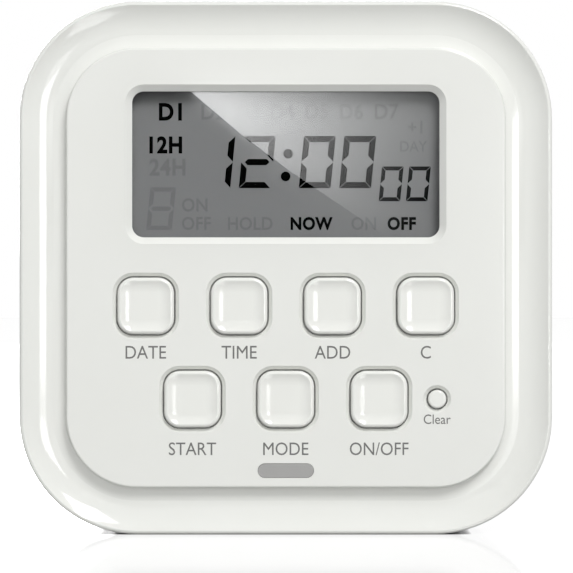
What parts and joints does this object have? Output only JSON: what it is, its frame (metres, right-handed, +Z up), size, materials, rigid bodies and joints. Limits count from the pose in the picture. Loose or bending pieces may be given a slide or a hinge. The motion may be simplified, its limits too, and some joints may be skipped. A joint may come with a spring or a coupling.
{
  "type": "plug-in timer",
  "caption": "Square plug-in mains timer with a digital display, press buttons, a three-pin plug at the back and a socket in each side.",
  "frame": {"origin": "on the surface that the casing stands on, under the middle of the object's width and of its depth with the plug pins", "axes": "+Z up, +Y to the back along the plug pins, +X to the right seen from the display"},
  "size_m": [0.0726, 0.0624, 0.0726],
  "materials": {
    "casing_plastic": "moulded, glossy, warm white",
    "key_plastic": "moulded, satin white",
    "window_plastic": "clear polished acrylic",
    "lcd_glass": "grey-green display glass",
    "black_plastic": "moulded black",
    "zebra_rubber": "striped silicone",
    "plunger_plastic": "moulded",
    "lens_plastic": "smoked clear plastic",
    "lamp_epoxy": "tinted epoxy",
    "board_laminate": "green solder mask on glass epoxy",
    "steel": "zinc plated",
    "cell_steel": "nickel plated can",
    "relay_plastic": "moulded blue",
    "film_plastic": "moulded yellow box",
    "can_aluminium": "drawn can",
    "disc_epoxy": "dipped blue",
    "part_lacquer": "lacquered body",
    "plug_brass": "plain brass, pressed and polished",
    "contact_brass": "sprung bronze strip",
    "holder_nylon": "moulded natural nylon",
    "face_plastic": "moulded heat-resistant white",
    "wire_cover": "extruded black",
    "wire_cover_white": "extruded white"
  },
  "bodies": {
    "casing": {"front_cover": "casing_plastic", "rear_cover": "casing_plastic", "case_screws": "steel", "display_window": "window_plastic", "lcd_panel": "lcd_glass", "lcd_frame": "black_plastic", "zebra_strips": "zebra_rubber", "switch_bodies": "black_plastic", "indicator_lens": "lens_plastic", "indicator_lamp": "lamp_epoxy", "control_board": "board_laminate", "control_board_screws": "steel", "control_chip": "black_plastic", "timing_crystal": "steel", "backup_cell": "cell_steel", "battery_tabs": "steel", "board_header": "black_plastic", "power_board": "board_laminate", "power_board_screws": "steel", "relay": "relay_plastic", "film_capacitor": "film_plastic", "can_capacitor": "can_aluminium", "varistor": "disc_epoxy", "diodes": "black_plastic", "resistors": "part_lacquer", "line_blade": "plug_brass", "neutral_blade": "plug_brass", "ground_pin": "plug_brass", "blade_holder": "holder_nylon", "left_socket_face": "face_plastic", "right_socket_face": "face_plastic", "live_bar": "contact_brass", "neutral_bar": "contact_brass", "ground_bar": "contact_brass", "contact_cover": "holder_nylon", "contact_cover_screws": "steel", "line_wire": "wire_cover", "relay_wire": "wire_cover", "neutral_wire": "wire_cover_white"},
    "week_press": {"week_key": "key_plastic", "week_plunger": "plunger_plastic"},
    "hour_press": {"hour_key": "key_plastic", "hour_plunger": "plunger_plastic"},
    "minute_press": {"minute_key": "key_plastic", "minute_plunger": "plunger_plastic"},
    "recall_press": {"recall_key": "key_plastic", "recall_plunger": "plunger_plastic"},
    "clock_press": {"clock_key": "key_plastic", "clock_plunger": "plunger_plastic"},
    "program_press": {"program_key": "key_plastic", "program_plunger": "plunger_plastic"},
    "manual_press": {"manual_key": "key_plastic", "manual_plunger": "plunger_plastic"},
    "reset_press": {"reset_button": "key_plastic", "reset_plunger": "plunger_plastic"}
  },
  "joints": [
    {"name": "week_travel", "type": "slide", "parent": "casing", "child": "week_press", "axis": [0, 1, 0], "range_m": [0, 0.0004], "stiffness_N_per_m": 400},
    {"name": "hour_travel", "type": "slide", "parent": "casing", "child": "hour_press", "axis": [0, 1, 0], "range_m": [0, 0.0004], "stiffness_N_per_m": 400},
    {"name": "minute_travel", "type": "slide", "parent": "casing", "child": "minute_press", "axis": [0, 1, 0], "range_m": [0, 0.0004], "stiffness_N_per_m": 400},
    {"name": "recall_travel", "type": "slide", "parent": "casing", "child": "recall_press", "axis": [0, 1, 0], "range_m": [0, 0.0004], "stiffness_N_per_m": 400},
    {"name": "clock_travel", "type": "slide", "parent": "casing", "child": "clock_press", "axis": [0, 1, 0], "range_m": [0, 0.0004], "stiffness_N_per_m": 400},
    {"name": "program_travel", "type": "slide", "parent": "casing", "child": "program_press", "axis": [0, 1, 0], "range_m": [0, 0.0004], "stiffness_N_per_m": 400},
    {"name": "manual_travel", "type": "slide", "parent": "casing", "child": "manual_press", "axis": [0, 1, 0], "range_m": [0, 0.0004], "stiffness_N_per_m": 400},
    {"name": "reset_travel", "type": "slide", "parent": "casing", "child": "reset_press", "axis": [0, 1, 0], "range_m": [0, 0.0004], "stiffness_N_per_m": 400}
  ]
}
